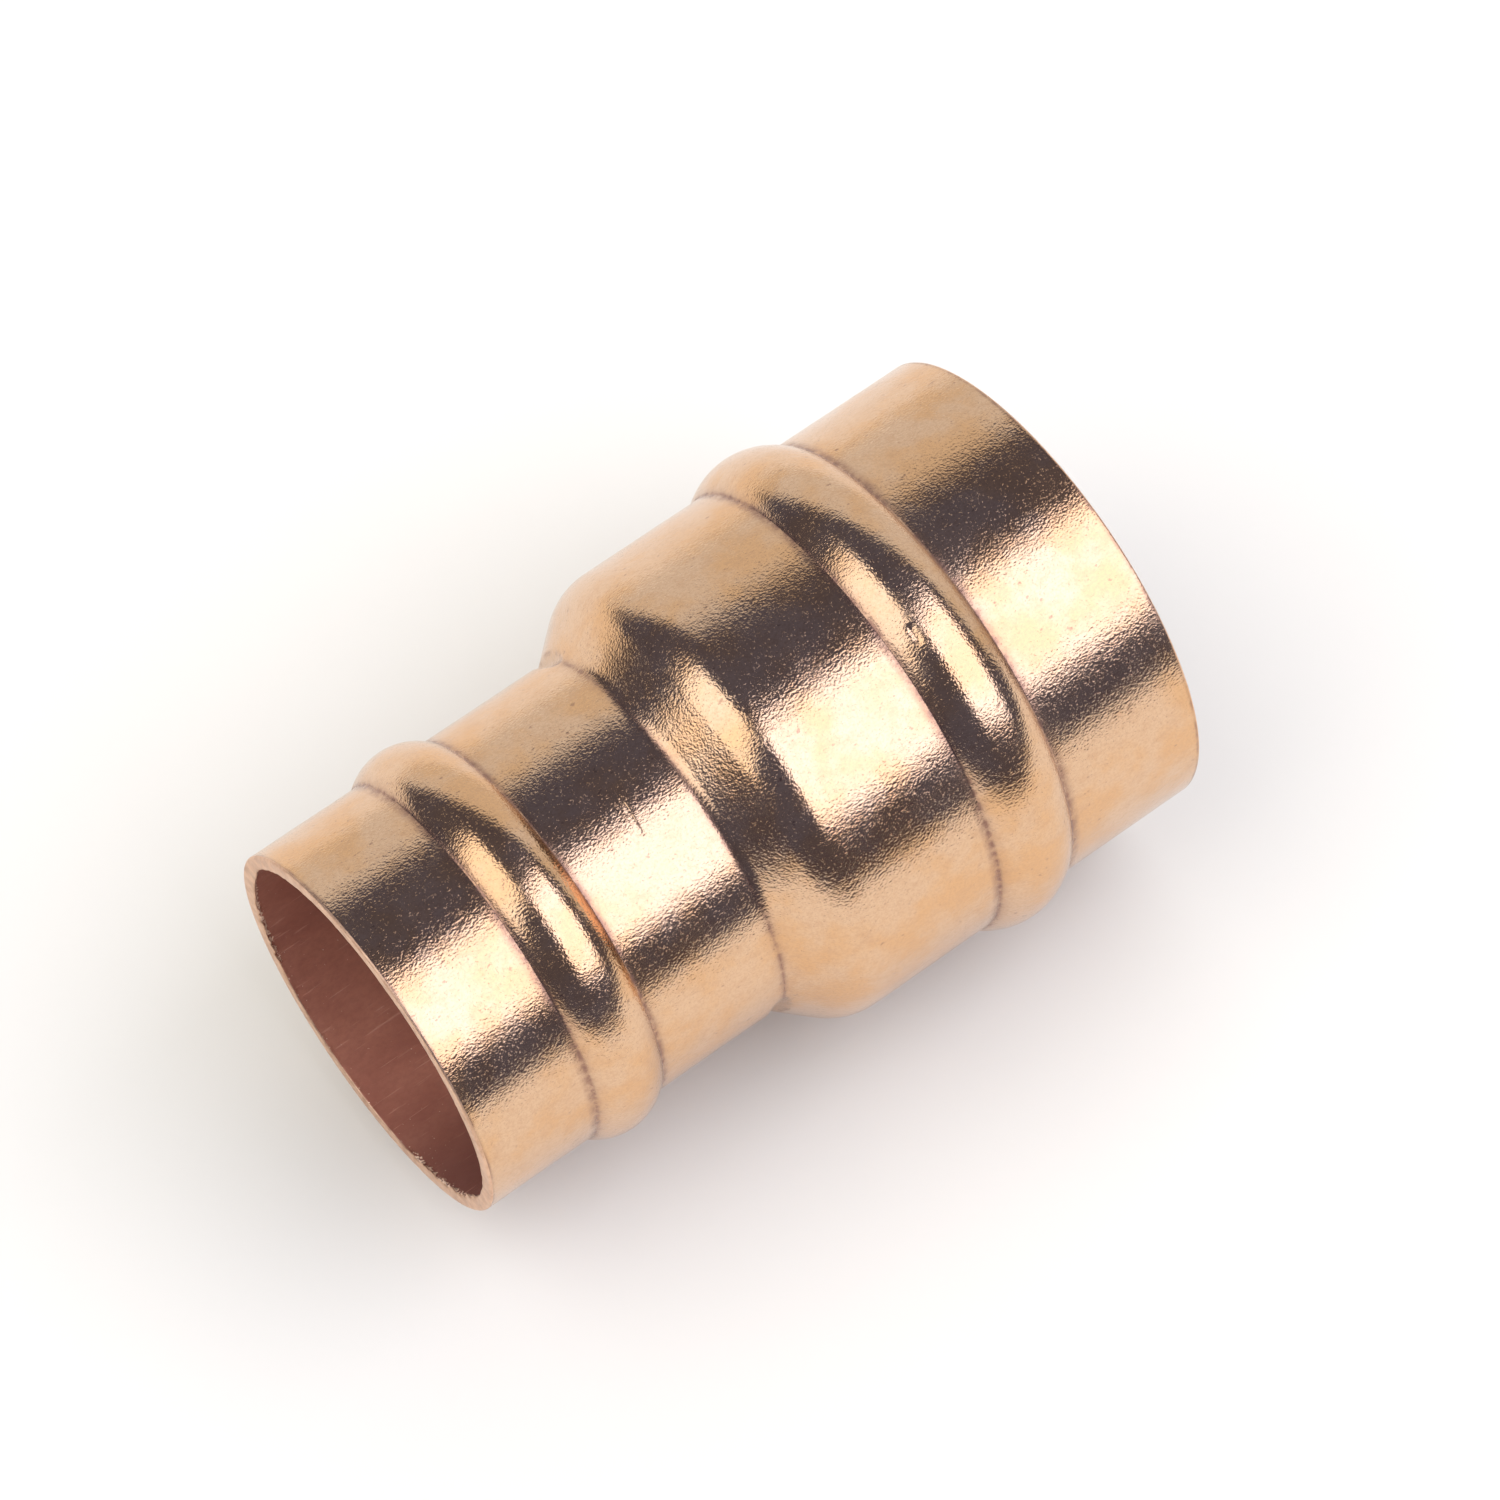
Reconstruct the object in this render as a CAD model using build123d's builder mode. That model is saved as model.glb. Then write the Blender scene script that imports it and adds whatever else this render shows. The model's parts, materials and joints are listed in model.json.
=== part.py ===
"""Reducing coupling for 28 mm and 22 mm copper tube, solder-ring type.

A one-piece copper shell with a socket at each end, and a ring of solder held in the bead of each socket.
The axis runs along X: the small mouth faces -X and the large mouth +X. The origin is on the axis, midway
between the mouths, and +Z is up.
"""
from build123d import *
import os
from math import cos, radians, sin, sqrt, tan

# Lengths along the axis, in mm
LENGTH = 48.4
SMALL_BEAD_FROM_MOUTH = 9.7
LARGE_BEAD_FROM_MOUTH = 12.0
SHOULDER_FROM_SMALL_MOUTH = 22.0     # to the middle of the cone
SIZED_SOCKET_DEPTH = 19.6            # where the sized bore of the small socket ends

# Radii and walls
SMALL_BORE_RADIUS = 11.0625          # socket for a 22 mm tube
LARGE_BORE_RADIUS = 14.0625          # socket for a 28 mm tube
NECK_RADIUS = 10.95                  # unsized wall between the small socket and the shoulder
SMALL_WALL = 0.90
LARGE_WALL = 0.85
MOUTH_ROUNDING = 0.15

# Shoulder: a cone with a tight foot and a full brow
CONE_ANGLE = 41.25
FOOT_RADIUS = 1.2
BROW_RADIUS = 4.0

# Beads that hold the solder: chord and height of the outer arc, and the fillet at each foot
SMALL_BEAD_CHORD = 4.6
SMALL_BEAD_HEIGHT = 0.93
LARGE_BEAD_CHORD = 5.3
LARGE_BEAD_HEIGHT = 1.06
BEAD_WALL = 0.8
BEAD_FOOT_FILLET = 0.3
GROOVE_EDGE_FILLET = 0.12

# Tube stops: two straight dents across the foot of the shoulder, each with a ridge inside
STOP_FROM_SMALL_MOUTH = 20.4
STOP_ANGLES = (66.0, 246.0)          # from +Z towards +Y
STOP_NOSE_RADIUS = 0.7
STOP_DENT_FLOOR_RADIUS = 11.45       # distance from the axis to the bottom of the dent
STOP_HALF_LENGTH = 4.0
RIDGE_FROM_SMALL_MOUTH = 20.6
RIDGE_HALF_WIDTH = 0.9
RIDGE_TOP_RADIUS = 10.70             # distance from the axis to the top of the ridge
RIDGE_ROOT_RADIUS = 11.90            # the ridge ends here, inside the wall

# Solder rings
RING_RECESS = 0.15                   # the ring lies this far below the bore
RING_GAP_ANGLE = 5.0                 # between the two ends of the wire
RING_GAP_AT = 120.0                  # middle of that gap, from +Z towards -Y

MOUTH_SMALL_X = -LENGTH / 2
MOUTH_LARGE_X = LENGTH / 2
SMALL_OUTER_RADIUS = SMALL_BORE_RADIUS + SMALL_WALL
LARGE_OUTER_RADIUS = LARGE_BORE_RADIUS + LARGE_WALL
SMALL_BEAD_X = MOUTH_SMALL_X + SMALL_BEAD_FROM_MOUTH
LARGE_BEAD_X = MOUTH_LARGE_X - LARGE_BEAD_FROM_MOUTH
SHOULDER_X = MOUTH_SMALL_X + SHOULDER_FROM_SMALL_MOUTH
NECK_X = MOUTH_SMALL_X + SIZED_SOCKET_DEPTH
STOP_X = MOUTH_SMALL_X + STOP_FROM_SMALL_MOUTH
RIDGE_X = MOUTH_SMALL_X + RIDGE_FROM_SMALL_MOUTH

os.makedirs("parts", exist_ok=True)


def bead_arc(outer_radius, chord, height):
    """Radius of a bead's outer arc, and the distance of its centre from the axis."""
    arc_radius = (chord**2 / 4 + height**2) / (2 * height)
    return arc_radius, outer_radius + height - arc_radius


def groove_half_width(bore_radius, arc_radius, centre_radius):
    """Half the width, at the bore, of the groove inside a bead."""
    return sqrt((arc_radius - BEAD_WALL) ** 2 - (bore_radius - centre_radius) ** 2)


def shoulder_corner(radius, cone_shift):
    """X where the cone meets a cylinder of this radius. cone_shift moves the cone along the axis."""
    middle_radius = SMALL_OUTER_RADIUS + BLEND_RISE + CONE_RISE / 2
    return SHOULDER_X + cone_shift + (radius - middle_radius) / tan(radians(CONE_ANGLE))


def radial_plane(angle):
    """Plane through the axis whose x is +X and whose y points away from the axis at an angle from +Z."""
    turn = radians(angle)
    return Plane(origin=(0, 0, 0), x_dir=(1, 0, 0), z_dir=(0, -cos(turn), sin(turn)))


# The two blends take up part of the step between the cylinders, and the straight cone the rest
BLEND_RISE = FOOT_RADIUS * (1 - cos(radians(CONE_ANGLE)))
CONE_RISE = (
    LARGE_OUTER_RADIUS - SMALL_OUTER_RADIUS - (FOOT_RADIUS + BROW_RADIUS) * (1 - cos(radians(CONE_ANGLE)))
)
MEAN_WALL = (SMALL_WALL + LARGE_WALL) / 2
INNER_CONE_SHIFT = MEAN_WALL / sin(radians(CONE_ANGLE))
INNER_FOOT_RADIUS = FOOT_RADIUS + SMALL_OUTER_RADIUS - NECK_RADIUS
INNER_BROW_RADIUS = BROW_RADIUS - LARGE_WALL

# For each bead: its middle, the bore and outer radius of its socket, its chord and its height
BEADS = (
    (SMALL_BEAD_X, SMALL_BORE_RADIUS, SMALL_OUTER_RADIUS, SMALL_BEAD_CHORD, SMALL_BEAD_HEIGHT),
    (LARGE_BEAD_X, LARGE_BORE_RADIUS, LARGE_OUTER_RADIUS, LARGE_BEAD_CHORD, LARGE_BEAD_HEIGHT),
)

# ---- Stop ridges: round-topped bars inside the bore, which fade into the wall at both ends ----
with BuildPart() as ridges:
    for angle in STOP_ANGLES:
        with BuildSketch(radial_plane(angle)):
            with Locations((RIDGE_X, RIDGE_TOP_RADIUS + RIDGE_HALF_WIDTH)):
                Circle(RIDGE_HALF_WIDTH)
                Rectangle(2 * RIDGE_HALF_WIDTH, SMALL_WALL, align=(Align.CENTER, Align.MIN))
        extrude(amount=STOP_HALF_LENGTH, both=True)
    with BuildSketch(Plane.YZ.offset(RIDGE_X)):
        Circle(RIDGE_ROOT_RADIUS)
    extrude(amount=STOP_HALF_LENGTH, both=True, mode=Mode.INTERSECT)

# ---- Body: the copper shell ----
with BuildPart() as body:
    with BuildSketch(Plane.XZ) as wall:
        with BuildLine():
            Polyline(
                (MOUTH_SMALL_X, SMALL_BORE_RADIUS),
                (NECK_X, SMALL_BORE_RADIUS),
                (NECK_X, NECK_RADIUS),
                (shoulder_corner(NECK_RADIUS, INNER_CONE_SHIFT), NECK_RADIUS),
                (shoulder_corner(LARGE_BORE_RADIUS, INNER_CONE_SHIFT), LARGE_BORE_RADIUS),
                (MOUTH_LARGE_X, LARGE_BORE_RADIUS),
                (MOUTH_LARGE_X, LARGE_OUTER_RADIUS),
                (shoulder_corner(LARGE_OUTER_RADIUS, 0), LARGE_OUTER_RADIUS),
                (shoulder_corner(SMALL_OUTER_RADIUS, 0), SMALL_OUTER_RADIUS),
                (MOUTH_SMALL_X, SMALL_OUTER_RADIUS),
                close=True,
            )
        make_face()
        for radius, shift, blend in (
            (NECK_RADIUS, INNER_CONE_SHIFT, INNER_FOOT_RADIUS),
            (LARGE_BORE_RADIUS, INNER_CONE_SHIFT, INNER_BROW_RADIUS),
            (LARGE_OUTER_RADIUS, 0, BROW_RADIUS),
            (SMALL_OUTER_RADIUS, 0, FOOT_RADIUS),
        ):
            corner = Vector(shoulder_corner(radius, shift), radius)
            fillet(wall.vertices().sort_by_distance(corner)[0], blend)
        mouth_corners = wall.vertices().group_by(Axis.X)[0] + wall.vertices().group_by(Axis.X)[-1]
        fillet(mouth_corners, MOUTH_ROUNDING)

        for bead_x, bore_radius, outer_radius, chord, height in BEADS:
            arc_radius, centre_radius = bead_arc(outer_radius, chord, height)
            with BuildSketch(mode=Mode.PRIVATE) as crown:
                with Locations((bead_x, centre_radius)):
                    Circle(arc_radius)
                with Locations((bead_x, bore_radius)):
                    trim = 3 * arc_radius
                    Rectangle(trim, trim, align=(Align.CENTER, Align.MAX), mode=Mode.SUBTRACT)
            add(crown.sketch)
            with Locations((bead_x, centre_radius)):
                Circle(arc_radius - BEAD_WALL, mode=Mode.SUBTRACT)
            half_groove = groove_half_width(bore_radius, arc_radius, centre_radius)
            for side in (-1, 1):
                foot = Vector(bead_x + side * chord / 2, outer_radius)
                fillet(wall.vertices().sort_by_distance(foot)[0], BEAD_FOOT_FILLET)
                groove_edge = Vector(bead_x + side * half_groove, bore_radius)
                fillet(wall.vertices().sort_by_distance(groove_edge)[0], GROOVE_EDGE_FILLET)

    revolve(axis=Axis.X)
    add(ridges.part)
    for angle in STOP_ANGLES:
        with BuildSketch(radial_plane(angle)):
            with Locations((STOP_X, STOP_DENT_FLOOR_RADIUS + STOP_NOSE_RADIUS)):
                Circle(STOP_NOSE_RADIUS)
                Rectangle(2 * STOP_NOSE_RADIUS, SMALL_WALL, align=(Align.CENTER, Align.MIN))
        extrude(amount=STOP_HALF_LENGTH, both=True, mode=Mode.SUBTRACT)

body.part.label = "body"
export_step(body.part, "parts/body.step")


# ---- Solder rings: wire rolled into the groove of each bead, with its inner face flat ----
def solder_ring(bead_x, bore_radius, outer_radius, chord, height):
    arc_radius, centre_radius = bead_arc(outer_radius, chord, height)
    with BuildPart() as ring:
        with BuildSketch(radial_plane(-RING_GAP_AT - RING_GAP_ANGLE / 2)):
            with Locations((bead_x, centre_radius)):
                Circle(arc_radius - BEAD_WALL)
            with Locations((bead_x, bore_radius + RING_RECESS)):
                trim = 3 * arc_radius
                Rectangle(trim, trim, align=(Align.CENTER, Align.MAX), mode=Mode.SUBTRACT)
        revolve(axis=Axis.X, revolution_arc=360 - RING_GAP_ANGLE)
    return ring


small_solder_ring = solder_ring(*BEADS[0])
small_solder_ring.part.label = "small_solder_ring"
export_step(small_solder_ring.part, "parts/small_solder_ring.step")

large_solder_ring = solder_ring(*BEADS[1])
large_solder_ring.part.label = "large_solder_ring"
export_step(large_solder_ring.part, "parts/large_solder_ring.step")
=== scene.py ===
import json
from math import atan2, cos, hypot, pi, radians, sin, sqrt, tan

import bpy
import numpy as np
from mathutils import Matrix, Vector, noise

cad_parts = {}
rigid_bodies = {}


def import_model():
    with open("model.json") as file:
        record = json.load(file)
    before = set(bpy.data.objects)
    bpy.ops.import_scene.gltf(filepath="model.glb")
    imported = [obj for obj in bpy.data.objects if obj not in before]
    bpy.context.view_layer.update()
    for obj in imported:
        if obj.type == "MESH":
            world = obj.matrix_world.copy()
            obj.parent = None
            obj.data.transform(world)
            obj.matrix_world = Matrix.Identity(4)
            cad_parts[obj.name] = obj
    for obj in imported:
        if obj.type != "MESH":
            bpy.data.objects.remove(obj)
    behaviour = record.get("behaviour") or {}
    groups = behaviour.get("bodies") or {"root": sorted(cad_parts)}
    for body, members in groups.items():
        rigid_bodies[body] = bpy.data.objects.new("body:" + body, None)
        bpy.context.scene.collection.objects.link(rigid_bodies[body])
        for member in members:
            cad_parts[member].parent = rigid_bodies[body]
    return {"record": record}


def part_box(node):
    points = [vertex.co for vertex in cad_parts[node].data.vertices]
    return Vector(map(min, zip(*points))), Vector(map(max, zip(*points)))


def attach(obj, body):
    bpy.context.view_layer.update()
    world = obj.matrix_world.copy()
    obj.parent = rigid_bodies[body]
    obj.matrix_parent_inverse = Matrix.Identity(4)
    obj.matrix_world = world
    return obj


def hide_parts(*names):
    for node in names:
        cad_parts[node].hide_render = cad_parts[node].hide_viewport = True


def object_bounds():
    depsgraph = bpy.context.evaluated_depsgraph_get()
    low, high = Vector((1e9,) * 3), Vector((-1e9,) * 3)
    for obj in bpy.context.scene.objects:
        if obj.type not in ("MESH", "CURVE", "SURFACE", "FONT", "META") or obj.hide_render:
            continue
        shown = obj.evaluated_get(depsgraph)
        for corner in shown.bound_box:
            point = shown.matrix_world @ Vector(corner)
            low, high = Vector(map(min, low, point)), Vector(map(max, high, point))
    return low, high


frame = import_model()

MM = 0.001
CAD_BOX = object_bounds()

# ---------------------------------------------------------------- sizes

HALF_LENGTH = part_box("body")[1].x / MM
MOUNTS = {mount["name"]: mount for mount in frame["record"]["mounts"]}
RING_RECESS = 0.15               # a solder ring lies this far below the bore


class Socket:
    """One end of the coupling: its bore and wall, and the bead with the solder groove inside it."""

    def __init__(self, name, wall, bead_height):
        low, high = (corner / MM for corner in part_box(name + "_solder_ring"))
        self.bore = MOUNTS[name + "_socket"]["dims"]["r_mm"]
        self.outer = self.bore + wall
        self.bead_x = (low.x + high.x) / 2
        groove_top = high.z
        half_chord = (high.x - low.x) / 2
        self.ring_face = self.bore + RING_RECESS
        rise = groove_top - self.ring_face
        self.groove_arc = (half_chord**2 + rise**2) / (2 * rise)
        self.arc_centre = groove_top - self.groove_arc
        self.bead_arc = self.outer + bead_height - self.arc_centre


SMALL = Socket("small", wall=0.90, bead_height=0.93)
LARGE = Socket("large", wall=0.85, bead_height=1.06)
MOUTH_ROUNDING = 0.15
BEAD_FOOT = 0.2
GROOVE_EDGE = 0.12

# Shoulder: a cone between a tight foot and a full brow
SHOULDER_MIDDLE = 22.0 - HALF_LENGTH
CONE = radians(41.25)
FOOT_RADIUS = 1.2
BROW_RADIUS = 4.0
NECK_RADIUS = 10.95
NECK_START = 19.6 - HALF_LENGTH
INNER_FOOT_RADIUS = FOOT_RADIUS + SMALL.outer - NECK_RADIUS
INNER_BROW_RADIUS = BROW_RADIUS + LARGE.bore - LARGE.outer
BLENDS_RISE = (FOOT_RADIUS + BROW_RADIUS) * (1 - cos(CONE))
CONE_MIDDLE_RADIUS = (
    SMALL.outer + FOOT_RADIUS * (1 - cos(CONE)) + (LARGE.outer - SMALL.outer - BLENDS_RISE) / 2
)
INNER_CONE_SHIFT = (SMALL.outer - SMALL.bore + LARGE.outer - LARGE.bore) / 2 / sin(CONE)

# Tube stops: a straight dent outside and a ridge inside, across the foot of the shoulder
STOP_ANGLES = (66, 246)
DENT = {"x": 20.4 - HALF_LENGTH, "floor": 11.45, "nose": 0.7}
RIDGE = {"x": 20.6 - HALF_LENGTH, "floor": 10.70, "nose": 0.85}
PRESS_SOFTNESS = 0.03            # how softly a dent or ridge runs out into the wall
PRESS_FACING = 0.5               # a tool works on the wall within 60 degrees of it, by this cosine
RIM_DEPTH = 0.06                 # painted shade lies where a dent has just begun, at about this depth
RIM_SPREAD = 0.05

# Marks of handling. A nick has half its size along and round the body. A scratch has half its angle, and
# how far it leans for each degree.
NICKS = (
    {"x": 35.2 - HALF_LENGTH, "angle": -17.0, "along": 0.18, "round": 0.55, "depth": 0.09, "edge": 0.08},
    {"x": 34.6 - HALF_LENGTH, "angle": -2.5, "along": 0.16, "round": 0.2, "depth": 0.06},
)
SCRATCHES = (
    {"x": 16.88 - HALF_LENGTH, "middle": -12.4, "half_angle": 7.4, "lean": 0.018,
     "width": 0.09, "depth": 0.05},
    {"x": 17.88 - HALF_LENGTH, "middle": -10.0, "half_angle": 1.8, "lean": 0.078,
     "width": 0.08, "depth": 0.02},
)
# The sized end of the small socket is a little wider than the neck, and the step fades out towards the cone
SIZING_STEP = 0.008
SIZING_EDGE = 0.12
SIZING_REACH = 0.8
SIZING_FADE = 0.6
SIZING_PATCHES = {"size": 2.2, "seed": 21, "start": 0.35, "width": 0.3}
WOBBLES = ((6.0, 0.014), (1.6, 0.004))       # size and depth of the unevenness left by forming

# The ragged lip that the saw leaves on the inner edge of a mouth
BURR_PATCHES = {"size": 0.42, "seed": 11, "start": 0.48, "width": 0.15}
BURR_HEIGHT = 0.32
BURR_REACH = 0.17
BURR_ELSEWHERE = 0.2                         # share of the height outside the arcs
BURR_ARCS = ((92, 126), (196, 252))          # where the small mouth's edge is most ragged
BURR_ARC_FADE = 5
BURR_LIP = (82, 16)                          # middle and half width of the smooth lip beside it
BURR_LIP_FADE = 8
BURR_LIP_SHARE = 0.8
BARE_REACH = 0.38                            # bright metal shows this far in
BARE_ELSEWHERE = 0.25

# Dirt and painted shade in the corners beside the beads and the shoulder, painted shadow along the edges of
# the stop dents, and dirt along the mouths' outer edges
DIRT_AND_SHADE_LINE = {"share": 0.9, "width": 0.12}
DIRT_AND_SHADE_SMEAR = {"share": 0.35, "width": 0.42}
MOUTH_DIRT_WIDTH = 0.11
MOUTH_DIRT_LEAST = 0.5
MOUTH_DIRT_PATCHES = {"size": 0.9, "seed": 31, "start": 0.4, "width": 0.2}
RIM_PAINTED_SHADE = 0.75
FOOT_DIRT_AND_SHADE = NECK_START + 0.95                # where the dirt and painted shade at the shoulder's foot lie

OUTSIDE, INSIDE, CUT = range(3)  # surfaces, and the order of the body's materials

# Spacing of the body's rows and columns of points, in mm
SEGMENTS = 420
FINE_SIDE = radians(-22)         # columns are closest here, on the side that faces the camera
FINE_SHARE = 0.25
OUTSIDE_ROWS = {"step": 0.5, "arc_step": 0.15}
INSIDE_ROWS = {"step": 1.4, "arc_step": 0.3}
CUT_ROWS = {"step": 0.2, "arc_step": 0.06}
MOUTH_BAND = 4 * MOUTH_ROUNDING
FINE_STEP = 0.08
SMALL_SOCKET_ROWS = (            # each up to an x, with a spacing: finer at the scratches and the sizing step
    (SCRATCHES[0]["x"] - 0.35, 0.3),
    (SCRATCHES[0]["x"] + 0.35, FINE_STEP),
    (SCRATCHES[0]["x"] + 1.35, 0.15),
    (NECK_START - 0.1, 0.3),
    (NECK_START + 0.2, 0.05),
)
DENT_STEP = 0.1
CONE_STEP = 0.12
INNER_MOUTH_BAND = 3 * MOUTH_ROUNDING
INNER_MOUTH_STEP = 0.1
RIDGE_STEP = 0.2
NECK_EDGE_STEP = 0.06
SAME_POINT = 1e-6


# ---------------------------------------------------------------- half-section of the body

class Outline:
    """A half-section as (x, radius) points in order, each with the surface that starts at it."""

    def __init__(self, step, arc_step):
        self.points = []
        self.surfaces = []
        self.start(OUTSIDE, step, arc_step)

    def start(self, surface, step, arc_step):
        """From here on, this surface, with these spacings between the points of lines and arcs."""
        self.surface = surface
        self.step = step
        self.arc_step = arc_step

    def length_to(self, x, radius):
        return hypot(x - self.points[-1][0], radius - self.points[-1][1])

    def add(self, x, radius):
        if not self.points or self.length_to(x, radius) > SAME_POINT:
            self.points.append((x, radius))
            self.surfaces.append(self.surface)

    def line(self, x, radius, step=None):
        start_x, start_radius = self.points[-1]
        count = max(1, round(self.length_to(x, radius) / (step or self.step)))
        for i in range(1, count + 1):
            share = i / count
            self.add(start_x + (x - start_x) * share, start_radius + (radius - start_radius) * share)

    def arc(self, centre_x, centre_radius, arc_radius, start, end):
        """Angles in radians: 0 is along +X, and a quarter turn is away from the axis."""
        count = max(4, round(abs(end - start) * arc_radius / self.arc_step))
        for i in range(count + 1):
            angle = start + (end - start) * i / count
            self.add(centre_x + arc_radius * cos(angle), centre_radius + arc_radius * sin(angle))


def cone_corner(radius, shift):
    """X where the cone, moved by shift along the axis, meets a cylinder of this radius."""
    return SHOULDER_MIDDLE + shift + (radius - CONE_MIDDLE_RADIUS) / tan(CONE)


def add_bead(outline, socket):
    """Outside of a bead, along +X: foot, crown, foot."""
    rise = socket.outer + BEAD_FOOT - socket.arc_centre
    reach = sqrt((socket.bead_arc + BEAD_FOOT) ** 2 - rise**2)
    lean = atan2(rise, reach)
    outline.line(socket.bead_x - reach, socket.outer)
    outline.arc(socket.bead_x - reach, socket.outer + BEAD_FOOT, BEAD_FOOT, -pi / 2, -lean)
    outline.arc(socket.bead_x, socket.arc_centre, socket.bead_arc, pi - lean, lean)
    outline.arc(socket.bead_x + reach, socket.outer + BEAD_FOOT, BEAD_FOOT, pi + lean, 3 * pi / 2)


def add_groove(outline, socket):
    """Inside of a bead, along -X: rounded edge, groove, rounded edge."""
    rise = socket.bore + GROOVE_EDGE - socket.arc_centre
    reach = sqrt((socket.groove_arc + GROOVE_EDGE) ** 2 - rise**2)
    lean = atan2(rise, reach)
    outline.line(socket.bead_x + reach, socket.bore)
    outline.arc(socket.bead_x + reach, socket.bore + GROOVE_EDGE, GROOVE_EDGE, -pi / 2, -pi + lean)
    outline.arc(socket.bead_x, socket.arc_centre, socket.groove_arc, lean, pi - lean)
    outline.arc(socket.bead_x - reach, socket.bore + GROOVE_EDGE, GROOVE_EDGE, -lean, -pi / 2)


def add_mouth(outline, socket, side, outwards):
    """The cut face of a mouth with its two rounded edges, from the outside in or from the inside out."""
    x = side * (HALF_LENGTH - MOUTH_ROUNDING)
    edges = (
        (socket.outer - MOUTH_ROUNDING, pi / 2, pi / 2 - side * pi / 2),
        (socket.bore + MOUTH_ROUNDING, pi / 2 - side * pi / 2, -side * pi / 2 if side > 0 else 3 * pi / 2),
    )
    for radius, start, end in reversed(edges) if outwards else edges:
        if outwards:
            start, end = end, start
        outline.line(x + MOUTH_ROUNDING * cos(start), radius + MOUTH_ROUNDING * sin(start))
        outline.arc(x, radius, MOUTH_ROUNDING, start, end)


def body_outline():
    """The closed half-section: outside from the small mouth to the large one, then back along the inside."""
    outline = Outline(**OUTSIDE_ROWS)
    outline.add(MOUTH_ROUNDING - HALF_LENGTH, SMALL.outer)
    outline.line(MOUTH_BAND - HALF_LENGTH, SMALL.outer, FINE_STEP)
    add_bead(outline, SMALL)
    for x, step in SMALL_SOCKET_ROWS:
        outline.line(x, SMALL.outer, step)

    foot_x = cone_corner(SMALL.outer, 0) - FOOT_RADIUS * tan(CONE / 2)
    brow_x = cone_corner(LARGE.outer, 0) + BROW_RADIUS * tan(CONE / 2)
    outline.line(foot_x, SMALL.outer, DENT_STEP)
    outline.arc(foot_x, SMALL.outer + FOOT_RADIUS, FOOT_RADIUS, -pi / 2, CONE - pi / 2)
    outline.line(brow_x - BROW_RADIUS * sin(CONE), LARGE.outer - BROW_RADIUS * (1 - cos(CONE)), CONE_STEP)
    outline.arc(brow_x, LARGE.outer - BROW_RADIUS, BROW_RADIUS, pi / 2 + CONE, pi / 2)
    add_bead(outline, LARGE)
    outline.line(HALF_LENGTH - MOUTH_BAND, LARGE.outer)
    outline.line(HALF_LENGTH - MOUTH_ROUNDING, LARGE.outer, FINE_STEP)

    outline.start(CUT, **CUT_ROWS)
    add_mouth(outline, LARGE, 1, outwards=False)

    outline.start(INSIDE, **INSIDE_ROWS)
    outline.line(HALF_LENGTH - INNER_MOUTH_BAND, LARGE.bore, INNER_MOUTH_STEP)
    add_groove(outline, LARGE)
    brow_x = cone_corner(LARGE.bore, INNER_CONE_SHIFT) + INNER_BROW_RADIUS * tan(CONE / 2)
    foot_x = cone_corner(NECK_RADIUS, INNER_CONE_SHIFT) - INNER_FOOT_RADIUS * tan(CONE / 2)
    outline.line(brow_x, LARGE.bore)
    outline.arc(brow_x, LARGE.bore - INNER_BROW_RADIUS, INNER_BROW_RADIUS, pi / 2, pi / 2 + CONE)
    outline.arc(foot_x, NECK_RADIUS + INNER_FOOT_RADIUS, INNER_FOOT_RADIUS, CONE - pi / 2, -pi / 2)
    outline.line(NECK_START, NECK_RADIUS, RIDGE_STEP)
    outline.line(NECK_START, SMALL.bore, NECK_EDGE_STEP)
    add_groove(outline, SMALL)
    outline.line(INNER_MOUTH_BAND - HALF_LENGTH, SMALL.bore)
    outline.line(MOUTH_ROUNDING - HALF_LENGTH, SMALL.bore, INNER_MOUTH_STEP)

    outline.start(CUT, **CUT_ROWS)
    add_mouth(outline, SMALL, -1, outwards=True)
    if outline.length_to(*outline.points[0]) < SAME_POINT:
        outline.points.pop()
        outline.surfaces.pop()
    return outline


# ---------------------------------------------------------------- shaping

def smooth_step(value):
    value = np.clip(value, 0, 1)
    return value * value * (3 - 2 * value)


def hump(away, width):
    """1 in the middle, fading to 0 within about two widths."""
    return np.exp(-((away / width) ** 2))


def smooth_min(a, b, softness):
    share = np.clip(0.5 + 0.5 * (b - a) / softness, 0, 1)
    return b * (1 - share) + a * share - softness * share * (1 - share)


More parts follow.
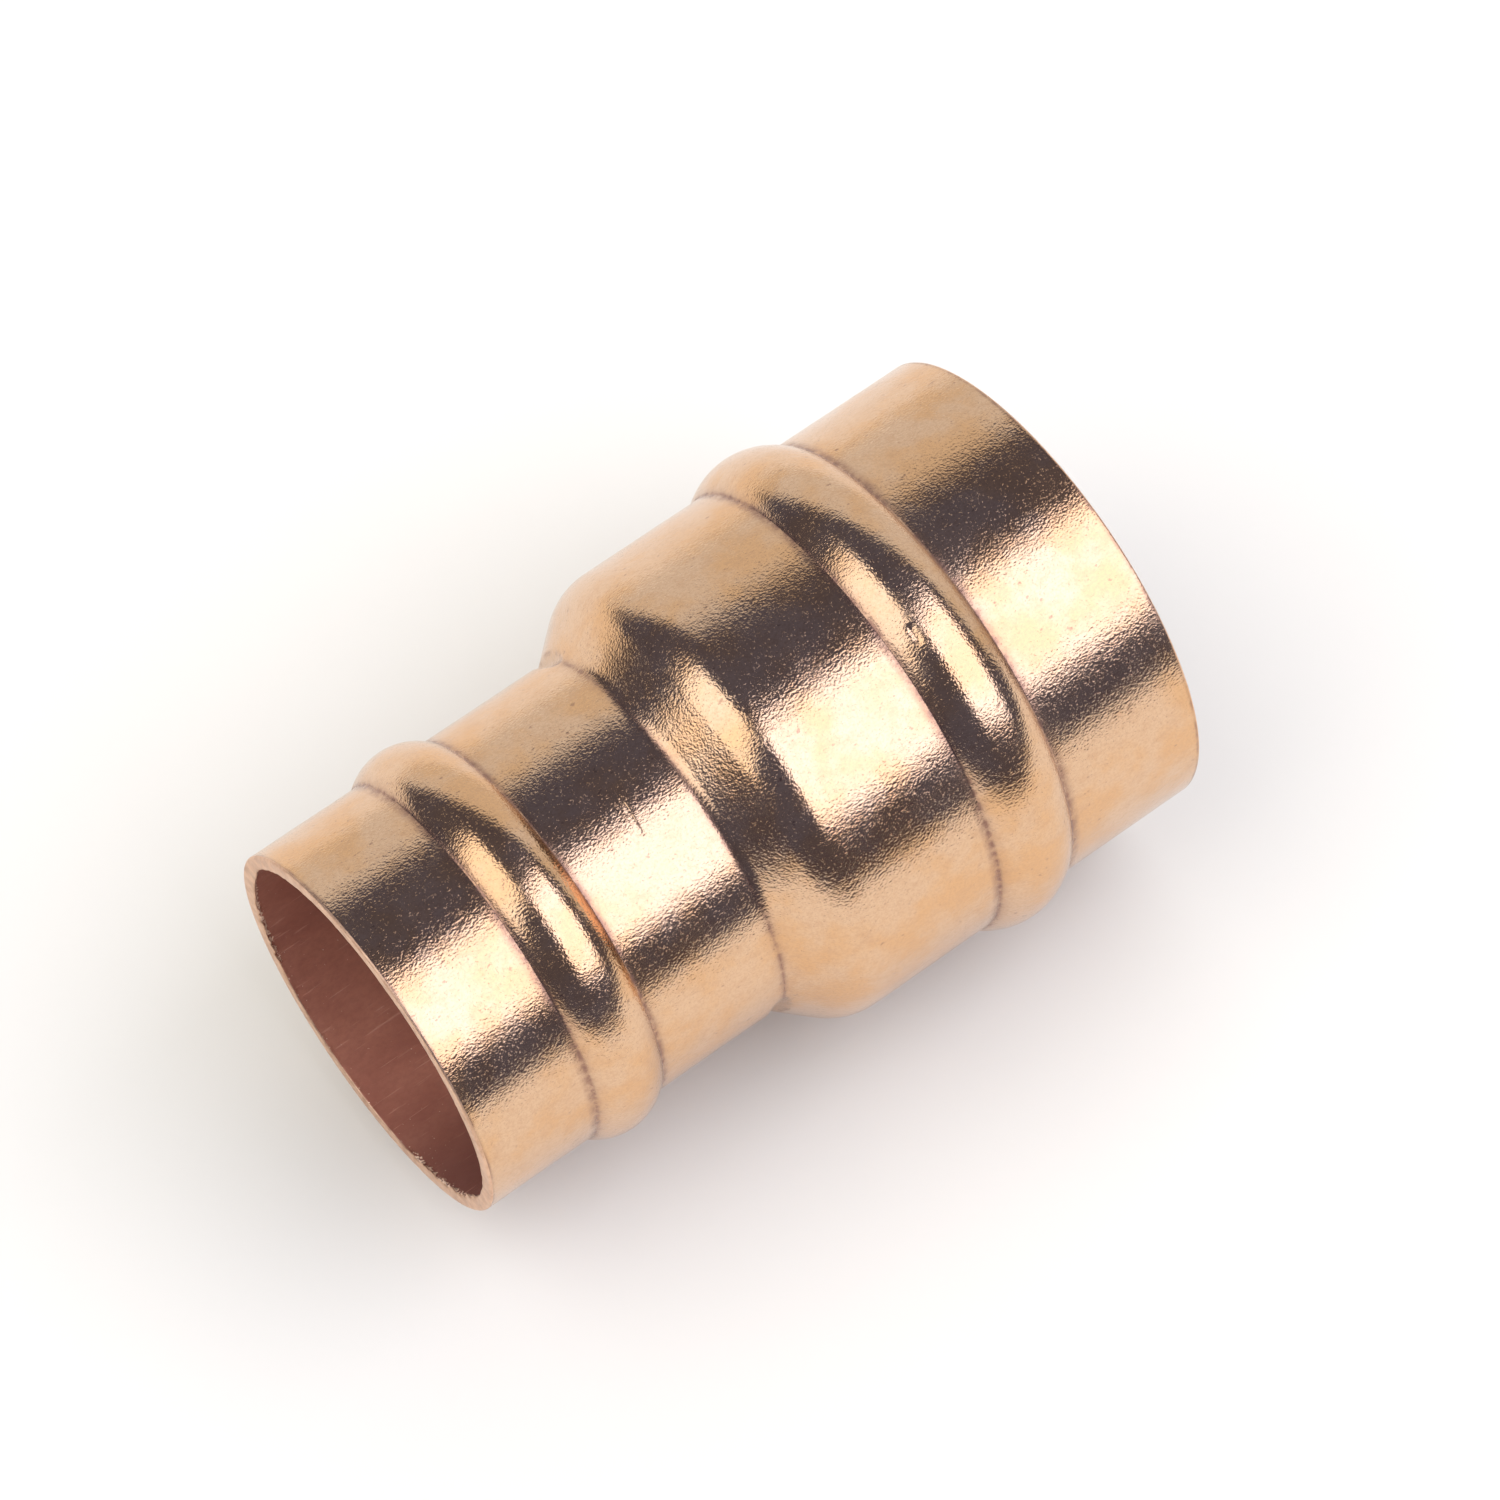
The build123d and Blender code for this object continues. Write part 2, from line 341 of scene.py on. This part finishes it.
class Skin:
    """The body's surface as grids: a row for each outline point and a column for each angle."""

    def __init__(self, outline):
        turn = np.arange(SEGMENTS) * 2 * pi / SEGMENTS
        angles = FINE_SIDE + turn - FINE_SHARE * np.sin(turn)
        points = np.array(outline.points)
        self.x, self.angle = np.meshgrid(points[:, 0], angles, indexing="ij")
        self.radius = np.repeat(points[:, 1:], SEGMENTS, axis=1)
        self.surface = np.array(outline.surfaces)
        self.rim = np.zeros_like(self.x)         # 1 along the edge of a stop dent
        self.bare = np.zeros_like(self.x)        # above 0 where the saw left bright metal on the inside

    def rows(self, surface):
        return (self.surface == surface)[:, None]

    def turned(self, degrees):
        """Angle from that place, in radians, between half a turn back and half a turn on."""
        return (self.angle - radians(degrees) + pi) % (2 * pi) - pi

    def press(self, tool, surface):
        """Two straight bars with a rounded nose, pressed in until their noses are at the floor."""
        before = self.radius
        for degrees in STOP_ANGLES:
            facing = np.cos(self.turned(degrees))
            height = tool["floor"] + tool["nose"] * (np.abs(self.x - tool["x"]) / tool["nose"]) ** 3
            pressed = smooth_min(self.radius, height / np.maximum(facing, PRESS_FACING), PRESS_SOFTNESS)
            self.radius = np.where(self.rows(surface) & (facing > PRESS_FACING), pressed, self.radius)
        depth = before - self.radius
        self.rim = hump(depth - RIM_DEPTH, RIM_SPREAD) * (depth > 0.1 * RIM_SPREAD)

    def nick(self, x, angle, along, round, depth, edge=0.12):
        """A blow with a blunt corner: steep sides, edge wide, and a flat floor."""
        inside = smooth_step((along - np.abs(self.x - x)) / edge)
        inside = inside * smooth_step((round - np.abs(self.turned(angle) * self.radius)) / edge)
        self.radius -= self.rows(OUTSIDE) * depth * inside

    def scratch(self, x, middle, half_angle, lean, width, depth):
        """A thin groove that fades out at both ends."""
        share = self.turned(middle) / radians(half_angle)
        line = x + lean * half_angle * share
        depth = depth * np.sqrt(np.maximum(1 - share**2, 0))
        self.radius -= self.rows(OUTSIDE) * depth * hump(self.x - line, width)

    def size_socket(self):
        """The sizing mandrel leaves the socket a little wider than the neck."""
        end = smooth_step((self.x - NECK_START) / SIZING_EDGE)
        fade = 1 - smooth_step((self.x - NECK_START - SIZING_REACH) / SIZING_FADE)
        patches = self.patches(**SIZING_PATCHES)
        self.radius -= self.rows(OUTSIDE) * SIZING_STEP * end * fade * patches

    def noise(self, size, seed):
        """Smooth noise, 0 to 1, with lumps of about this size in mm."""
        shift = Vector((seed, 3 * seed, 7 * seed))
        values = [noise.noise(Vector(place) + shift) for place in self.places() / size]
        return np.clip(0.5 + 0.5 * np.array(values).reshape(self.x.shape), 0, 1)

    def patches(self, size, seed, start, width):
        """0 where the noise is below start, and 1 where it is above start by width."""
        return smooth_step((self.noise(size, seed) - start) / width)

    def wobble(self):
        for seed, (size, depth) in enumerate(WOBBLES, 1):
            self.radius -= depth * self.noise(size, seed)

    def burr(self):
        """The sawn mouths keep a ragged lip on the inner edge."""
        ragged = self.patches(**BURR_PATCHES)
        arcs = np.zeros_like(self.x)
        for start, end in BURR_ARCS:
            middle, half = (start + end) / 2, radians(end - start) / 2
            inside = half - np.abs(self.turned(middle))
            arcs = np.maximum(arcs, smooth_step(inside / radians(BURR_ARC_FADE)))
        middle, half = BURR_LIP
        lip = smooth_step((radians(half) - np.abs(self.turned(middle))) / radians(BURR_LIP_FADE))
        for socket, side, most_ragged, smooth_lip in ((SMALL, -1, arcs, lip), (LARGE, 1, 0, 0)):
            share = ragged * (BURR_ELSEWHERE + (1 - BURR_ELSEWHERE) * most_ragged)
            share = np.maximum(share, BURR_LIP_SHARE * smooth_lip)
            bare = BARE_ELSEWHERE + (1 - BARE_ELSEWHERE) * most_ragged + smooth_lip
            to_edge = np.hypot(self.x - side * HALF_LENGTH, self.radius - socket.bore)
            self.bare += bare * np.exp(-((to_edge / BARE_REACH) ** 4))
            self.radius -= BURR_HEIGHT * share * hump(to_edge, BURR_REACH)

    def crease(self):
        """How dark a point is painted, about 1 in the corners and 0 on open walls: dirt and painted shade in
        the corners, painted shadow at the dents' edges, dirt at the mouths.
        """
        corners = [FOOT_DIRT_AND_SHADE]
        for socket in (SMALL, LARGE):
            reach = sqrt(socket.bead_arc**2 - (socket.outer - socket.arc_centre) ** 2)
            corners += [socket.bead_x - reach, socket.bead_x + reach]
        away = np.min([np.abs(self.x - corner) for corner in corners], axis=0)
        to_mouth = HALF_LENGTH - np.abs(self.x)
        # the corners get dirt and painted shade
        dirt_and_shade_share = sum(part["share"] * hump(away, part["width"]) for part in (DIRT_AND_SHADE_LINE, DIRT_AND_SHADE_SMEAR))
        patches = self.patches(**MOUTH_DIRT_PATCHES)
        at_mouth = hump(to_mouth - MOUTH_ROUNDING, MOUTH_DIRT_WIDTH)
        # painted shadow along the edge of each stop dent, added to the dirt at the mouths
        dirt_and_shade_share += at_mouth * (MOUTH_DIRT_LEAST + (1 - MOUTH_DIRT_LEAST) * patches) + RIM_PAINTED_SHADE * self.rim
        return np.clip(dirt_and_shade_share, 0, 1) * self.rows(OUTSIDE)

    def places(self):
        y, z = self.radius * np.sin(self.angle), self.radius * np.cos(self.angle)
        return np.stack((self.x, y, z), axis=-1).reshape(-1, 3)


def lathe_faces(rows, columns, around=True):
    """Quads between neighbouring rows and columns. The rows always close up; the columns only if around."""
    faces = []
    for i in range(rows):
        for j in range(columns if around else columns - 1):
            below, beside = (i + 1) % rows * columns, (j + 1) % columns
            faces.append((i * columns + j, below + j, below + beside, i * columns + beside))
    return faces


def add_piece(name, vertices, faces, materials, node):
    mesh = bpy.data.meshes.new(name)
    mesh.from_pydata(vertices, [], faces)
    mesh.shade_smooth()
    for material in materials:
        mesh.materials.append(material)
    piece = bpy.data.objects.new(name, mesh)
    bpy.context.collection.objects.link(piece)
    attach(piece, "root")
    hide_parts(node)
    return piece


def make_body(materials):
    skin = Skin(body_outline())
    skin.press(RIDGE, INSIDE)
    skin.press(DENT, OUTSIDE)
    for nick in NICKS:
        skin.nick(**nick)
    for scratch in SCRATCHES:
        skin.scratch(**scratch)
    skin.size_socket()
    skin.wobble()
    skin.burr()
    rows = len(skin.surface)
    body = add_piece(
        "copper_body", skin.places() * MM, lathe_faces(rows, SEGMENTS), materials, "body"
    )
    body.data.polygons.foreach_set("material_index", np.repeat(skin.surface, SEGMENTS).astype("int32"))
    for name, values in (("crease", skin.crease()), ("bare", np.clip(skin.bare, 0, 2))):
        attribute = body.data.attributes.new(name, "FLOAT", "POINT")
        attribute.data.foreach_set("value", np.ravel(values))
    print("body:", rows, "rows,", len(body.data.polygons), "faces")


# ---------------------------------------------------------------- solder rings

RING_CLEARANCE = 0.01
RING_DENTS = {"size": 0.9, "depth": 0.03, "crown_share": 0.3}
RING_GAP_AT = -120.0
RING_GAP = 5.0
RING_SEGMENTS = 200
RING_ARC_POINTS = 22
RING_FACE_POINTS = 10


def make_solder_ring(name, socket, material):
    """A wire rolled to the shape of the groove, with a gap between its ends."""
    arc = socket.groove_arc - RING_CLEARANCE
    face_height = socket.ring_face - socket.arc_centre
    half_turn = atan2(sqrt(arc**2 - face_height**2), face_height)
    crown = np.linspace(-half_turn, half_turn, RING_ARC_POINTS)
    x = socket.bead_x + arc * np.sin(crown)
    radius = socket.arc_centre + arc * np.cos(crown)
    face_x = np.linspace(x[-1], x[0], RING_FACE_POINTS + 2)[1:-1]
    x = np.concatenate((x, face_x))
    radius = np.concatenate((radius, np.full(RING_FACE_POINTS, socket.ring_face)))
    start = radians(RING_GAP_AT + RING_GAP / 2)
    angles = np.linspace(start, start + radians(360 - RING_GAP), RING_SEGMENTS)
    vertices = []
    for i, (px, pr) in enumerate(zip(x, radius)):
        for angle in angles:
            place = Vector((px, pr * sin(angle), pr * cos(angle))) / RING_DENTS["size"]
            dent = RING_DENTS["depth"] * (0.5 + 0.5 * noise.noise(place))
            dented = pr + dent if i >= RING_ARC_POINTS else pr - RING_DENTS["crown_share"] * dent
            vertices.append((px * MM, dented * sin(angle) * MM, dented * cos(angle) * MM))
    rows = len(x)
    faces = lathe_faces(rows, RING_SEGMENTS, around=False)
    faces.append([i * RING_SEGMENTS for i in range(rows)][::-1])
    faces.append([i * RING_SEGMENTS + RING_SEGMENTS - 1 for i in range(rows)])
    add_piece(name, vertices, faces, [material], name)


# ---------------------------------------------------------------- materials

COPPER = (0.74, 0.50, 0.325, 1)
ORANGE_COPPER = (0.735, 0.44, 0.23, 1)
STAIN = (0.62, 0.37, 0.21, 1)
SPECKLE = (0.56, 0.34, 0.20, 1)
DIRT_AND_SHADE = (0.33, 0.185, 0.135, 1)
PIT = (0.33, 0.19, 0.13, 1)
INNER_COPPER = (0.50, 0.205, 0.14, 1)
DARK_INNER_COPPER = (0.40, 0.15, 0.105, 1)
INNER_SPECKLE = (0.34, 0.125, 0.09, 1)
INSIDE_PAINTED_SHADE = (0.215, 0.085, 0.065, 1)
DRAWING_MARK = (0.66, 0.34, 0.25, 1)
BARE_COPPER = (0.95, 0.70, 0.53, 1)
CUT_COPPER = (0.80, 0.53, 0.36, 1)
DULL_CUT_COPPER = (0.62, 0.38, 0.25, 1)
SOLDER = (0.86, 0.85, 0.80, 1)
DULL_SOLDER = (0.70, 0.69, 0.65, 1)


class Shader:
    """A material's nodes, worked out in millimetres from the object's own coordinates."""

    def __init__(self, name):
        self.material = bpy.data.materials.new(name)
        self.material.use_nodes = True
        self.tree = self.material.node_tree
        self.surface = self.tree.nodes["Principled BSDF"]
        self.place = self.tree.nodes.new("ShaderNodeTexCoord").outputs["Object"]

    def node(self, kind, inputs, **settings):
        made = self.tree.nodes.new("ShaderNode" + kind)
        for name, value in settings.items():
            setattr(made, name, value)
        for name, value in inputs.items():
            self.give(made.inputs[name], value)
        return made

    def give(self, socket, value):
        if isinstance(value, bpy.types.NodeSocket):
            self.tree.links.new(value, socket)
        else:
            socket.default_value = value

    def set(self, **inputs):
        for name, value in inputs.items():
            self.give(self.surface.inputs[name.replace("_", " ").title()], value)

    def noise(self, size, detail, rough, stretch=1.0, seed=0.0):
        """Noise with lumps of about this size in mm, longer along the axis by stretch."""
        scale = (1 / (MM * size * stretch), 1 / (MM * size), 1 / (MM * size))
        place = self.node("Mapping", {"Vector": self.place, "Scale": scale, "Location": (seed, seed, seed)})
        inputs = {"Vector": place.outputs[0], "Scale": 1.0, "Detail": detail, "Roughness": rough}
        return self.node("TexNoise", inputs).outputs[0]

    def fit(self, value, low, high, to_low=0.0, to_high=1.0):
        """value between low and high, brought smoothly to between to_low and to_high."""
        inputs = {"Value": value, "From Min": low, "From Max": high, "To Min": to_low, "To Max": to_high}
        return self.node("MapRange", inputs, interpolation_type="SMOOTHSTEP").outputs[0]

    def mix(self, share, a, b):
        inputs = {0: share, 6: a, 7: b}
        return self.node("Mix", inputs, data_type="RGBA").outputs[2]

    def math(self, operation, a, b):
        return self.node("Math", {0: a, 1: b}, operation=operation).outputs[0]

    def bump(self, height, depth, normal=None):
        """height from 0 to 1 stands for depth in mm."""
        inputs = {"Height": height, "Distance": depth * MM, "Strength": 1.0}
        if normal:
            inputs["Normal"] = normal
        return self.node("Bump", inputs).outputs[0]


def copper_outside():
    """Bright drawn copper: blotchy, stained, with dirt and painted shade in the corners, with fine grain and
    pits.
    """
    shader = Shader("copper_outside")
    crease = shader.node("Attribute", {}, attribute_name="crease").outputs["Fac"]
    patches = shader.fit(shader.noise(4.5, 5, 0.6, seed=3), 0.40, 0.62)
    colour = shader.mix(patches, COPPER, ORANGE_COPPER)
    stains = shader.fit(shader.noise(0.9, 5, 0.7, 1.4, seed=8), 0.48, 0.75, 0.0, 0.5)
    colour = shader.mix(stains, colour, STAIN)
    mottle = shader.fit(shader.noise(0.15, 4, 0.75, 1.2, seed=17), 0.42, 0.64, 0.0, 0.42)
    colour = shader.mix(mottle, colour, SPECKLE)
    patchy = shader.fit(shader.noise(0.6, 5, 0.7, seed=5), 0.36, 0.62, 0.45, 1.0)
    corner = shader.math("MULTIPLY", crease, patchy)
    # painted shade in the corners and along the stop dents' edges, with dirt in the corners and at the mouths
    colour = shader.mix(corner, colour, DIRT_AND_SHADE)
    pits = shader.fit(shader.noise(0.38, 2, 0.5, 1.5, seed=13), 0.68, 0.76, 0.0, 0.6)
    colour = shader.mix(pits, colour, PIT)

    rough = shader.fit(shader.noise(2.2, 5, 0.65, seed=21), 0.3, 0.7, 0.10, 0.17)
    rough = shader.math("ADD", rough, shader.math("MULTIPLY", corner, 0.18))
    normal = shader.bump(shader.noise(0.5, 2, 0.5, 1.5, seed=34), 0.009)
    normal = shader.bump(shader.noise(0.14, 1, 0.5, 1.2, seed=55), 0.018, normal=normal)
    specks = shader.fit(shader.noise(0.14, 2, 0.5, 1.2, seed=89), 0.61, 0.70)
    normal = shader.bump(specks, 0.004, normal=normal)
    normal = shader.bump(pits, -0.006, normal=normal)
    shader.set(base_color=colour, metallic=1.0, roughness=rough, normal=normal)
    return shader.material


def copper_inside():
    """Dull red copper, with marks along the axis, and bright flecks where the saw left it bare."""
    shader = Shader("copper_inside")
    patches = shader.fit(shader.noise(3.5, 5, 0.6, 1.5, seed=4), 0.3, 0.7)
    colour = shader.mix(patches, INNER_COPPER, DARK_INNER_COPPER)
    grain = shader.fit(shader.noise(0.3, 4, 0.65, 1.5, seed=6), 0.35, 0.7, 0.0, 0.4)
    colour = shader.mix(grain, colour, INNER_SPECKLE)
    # painted shade: the inside is painted darker towards -Y, on one side
    across = shader.node("SeparateXYZ", {"Vector": shader.place}).outputs["Y"]
    painted_shade = shader.fit(across, -8 * MM, 2 * MM, 0.95, 0.0)
    colour = shader.mix(painted_shade, colour, INSIDE_PAINTED_SHADE)
    marks = shader.fit(shader.noise(0.22, 2, 0.5, 14.0, seed=19), 0.64, 0.72, 0.0, 0.45)
    colour = shader.mix(marks, colour, DRAWING_MARK)
    flecks = shader.noise(0.2, 2, 0.6, 0.8, seed=23)
    bare = shader.node("Attribute", {}, attribute_name="bare").outputs["Fac"]
    bare = shader.fit(shader.math("ADD", shader.math("MULTIPLY", bare, 0.3), flecks), 0.72, 0.80)
    colour = shader.mix(bare, colour, BARE_COPPER)

    rough = shader.fit(shader.noise(1.5, 4, 0.6, seed=9), 0.3, 0.7, 0.40, 0.58)
    normal = shader.bump(shader.noise(0.35, 3, 0.6, 2.0, seed=12), 0.012)
    normal = shader.bump(marks, -0.01, normal=normal)
    shader.set(base_color=colour, metallic=0.3, roughness=rough, normal=normal)
    return shader.material


def copper_cut():
    shader = Shader("copper_cut")
    patches = shader.fit(shader.noise(0.8, 5, 0.65, seed=2), 0.35, 0.7)
    colour = shader.mix(patches, CUT_COPPER, DULL_CUT_COPPER)
    rough = shader.fit(shader.noise(0.4, 3, 0.6, seed=7), 0.3, 0.7, 0.35, 0.5)
    normal = shader.bump(shader.noise(0.12, 3, 0.6, seed=14), 0.008)
    shader.set(base_color=colour, metallic=1.0, roughness=rough, normal=normal)
    return shader.material


def solder():
    shader = Shader("solder")
    patches = shader.fit(shader.noise(1.2, 5, 0.6, seed=1), 0.3, 0.7)
    colour = shader.mix(patches, SOLDER, DULL_SOLDER)
    rough = shader.fit(shader.noise(0.6, 4, 0.6, seed=10), 0.3, 0.7, 0.36, 0.52)
    normal = shader.bump(shader.noise(0.25, 3, 0.6, seed=15), 0.01)
    shader.set(base_color=colour, metallic=0.7, roughness=rough, normal=normal)
    return shader.material


# ---------------------------------------------------------------- camera, floor and light

CAMERA_AZIMUTH = radians(-37.22)
CAMERA_ELEVATION = radians(62.82)
CAMERA_DISTANCE = 367.76 * MM
CAMERA_OFFSET = (2.39 * MM, 3.05 * MM)       # aims a little right of and above the origin
CAMERA_LENS = 153.7


def make_camera():
    back = Vector((
        sin(CAMERA_AZIMUTH) * cos(CAMERA_ELEVATION),
        -cos(CAMERA_AZIMUTH) * cos(CAMERA_ELEVATION),
        sin(CAMERA_ELEVATION),
    ))
    right = Vector((cos(CAMERA_AZIMUTH), sin(CAMERA_AZIMUTH), 0))
    up = back.cross(right)
    data = bpy.data.cameras.new("camera")
    data.lens = CAMERA_LENS
    data.clip_start = 0.01
    camera = bpy.data.objects.new("camera", data)
    place = right * CAMERA_OFFSET[0] + up * CAMERA_OFFSET[1] + back * CAMERA_DISTANCE
    camera.matrix_world = Matrix.Translation(place) @ Matrix((right, up, back)).transposed().to_4x4()
    bpy.context.collection.objects.link(camera)
    bpy.context.scene.camera = camera


def plain_material(name, colour, glow):
    material = bpy.data.materials.new(name)
    material.use_nodes = True
    surface = material.node_tree.nodes["Principled BSDF"]
    surface.inputs["Base Color"].default_value = colour
    surface.inputs["Roughness"].default_value = 1.0
    surface.inputs["Specular IOR Level"].default_value = 0.0
    surface.inputs["Emission Color"].default_value = (1, 1, 1, 1)
    surface.inputs["Emission Strength"].default_value = glow
    return material


def make_stage_piece(name, corners, material):
    mesh = bpy.data.meshes.new(name)
    mesh.from_pydata(corners, [], [range(len(corners))])
    mesh.materials.append(material)
    piece = bpy.data.objects.new(name, mesh)
    bpy.context.collection.objects.link(piece)
    return piece


FLOOR_RADIUS = 0.8
FLOOR_SIDES = 96
FLOOR_COLOUR = (0.735, 0.715, 0.675, 1)
BACKDROP_HEIGHT = 0.8
BACKDROP_GLOW = 0.85
BACKDROP_DISTANCE = 1.03         # a share of its height, as the outline is
BACKDROP_AWAY = (0.548, 0.837, 0)
BACKDROP_OUTLINE = ((3.0, 1.0), (0.1, 1.0), (-0.55, 0.8), (-1.0, 0.37), (-1.18, -0.02), (3.0, -0.02))


def make_floor():
    turns = [2 * pi * i / FLOOR_SIDES for i in range(FLOOR_SIDES)]
    corners = [(FLOOR_RADIUS * cos(turn), FLOOR_RADIUS * sin(turn), CAD_BOX[0][2]) for turn in turns]
    make_stage_piece("floor", corners, plain_material("floor", FLOOR_COLOUR, 0.0))


def make_backdrop():
    """A lit wall behind the object, as the camera sees it, that only shows in reflections."""
    away = Vector(BACKDROP_AWAY).normalized()
    along = Vector((away.y, -away.x, 0))
    corners = [
        (away * BACKDROP_DISTANCE + along * across + Vector((0, 0, height))) * BACKDROP_HEIGHT
        for across, height in BACKDROP_OUTLINE
    ]
    wall = make_stage_piece("backdrop", corners, plain_material("backdrop", (0, 0, 0, 1), BACKDROP_GLOW))
    wall.visible_camera = False
    wall.visible_shadow = False


# Softboxes aimed at the origin, each with its width along the coupling. Sizes are shares of the distance.
MAIN_SOFTBOX = {"towards": (0.391, -0.501, 0.772), "distance": 1.5, "width": 1.0, "height": 1.0,
                "brightness": 2.5, "colour": (0.84, 0.85, 1.0)}
SIDE_SOFTBOX = {"towards": (-0.616, 0.164, 0.771), "distance": 1.5, "width": 0.98, "height": 0.77,
                "brightness": 1.65, "colour": (1.0, 1.0, 1.0)}
FLOOR_FILL = {"towards": (0.02, 0.02, 1), "distance": 2.5, "width": 2.4, "height": 2.4,
              "brightness": 1.1, "colour": (1.0, 0.99, 0.90)}
ROOM_COLOUR = (0.60, 0.64, 1.0, 1)
ROOM_STRENGTH = 0.178            # for light and reflections
ROOM_SEEN = 0.95                 # for the camera


def make_softbox(name, towards, distance, width, height, brightness, colour):
    back = Vector(towards).normalized()
    across = (Vector((1, 0, 0)) - back * back.x).normalized()
    data = bpy.data.lights.new(name, "AREA")
    data.shape = "RECTANGLE"
    data.size, data.size_y = width * distance, height * distance
    data.energy = brightness * pi * data.size * data.size_y
    data.color = colour
    light = bpy.data.objects.new(name, data)
    turn = Matrix((across, back.cross(across), back)).transposed().to_4x4()
    light.matrix_world = Matrix.Translation(back * distance) @ turn
    bpy.context.collection.objects.link(light)
    light.visible_camera = False
    return light


def make_world():
    """A dim bluish room for light and reflections, which the camera sees as pale."""
    world = bpy.data.worlds.new("room")
    bpy.context.scene.world = world
    world.use_nodes = True
    tree = world.node_tree
    tree.nodes.clear()
    room = tree.nodes.new("ShaderNodeBackground")
    room.inputs["Color"].default_value = ROOM_COLOUR
    room.inputs["Strength"].default_value = ROOM_STRENGTH
    seen = tree.nodes.new("ShaderNodeBackground")
    seen.inputs["Color"].default_value = (1, 1, 1, 1)
    seen.inputs["Strength"].default_value = ROOM_SEEN
    mix = tree.nodes.new("ShaderNodeMixShader")
    tree.links.new(tree.nodes.new("ShaderNodeLightPath").outputs["Is Camera Ray"], mix.inputs[0])
    tree.links.new(room.outputs[0], mix.inputs[1])
    tree.links.new(seen.outputs[0], mix.inputs[2])
    tree.links.new(mix.outputs[0], tree.nodes.new("ShaderNodeOutputWorld").inputs[0])


def make_lights():
    make_softbox("main_softbox", **MAIN_SOFTBOX)
    make_softbox("side_softbox", **SIDE_SOFTBOX)
    fill = make_softbox("floor_fill", **FLOOR_FILL)
    fill.visible_glossy = False


make_camera()
make_floor()
make_backdrop()
make_world()
make_lights()
make_body([copper_outside(), copper_inside(), copper_cut()])
solder_material = solder()
make_solder_ring("small_solder_ring", SMALL, solder_material)
make_solder_ring("large_solder_ring", LARGE, solder_material)

bpy.context.scene.view_settings.view_transform = "Standard"
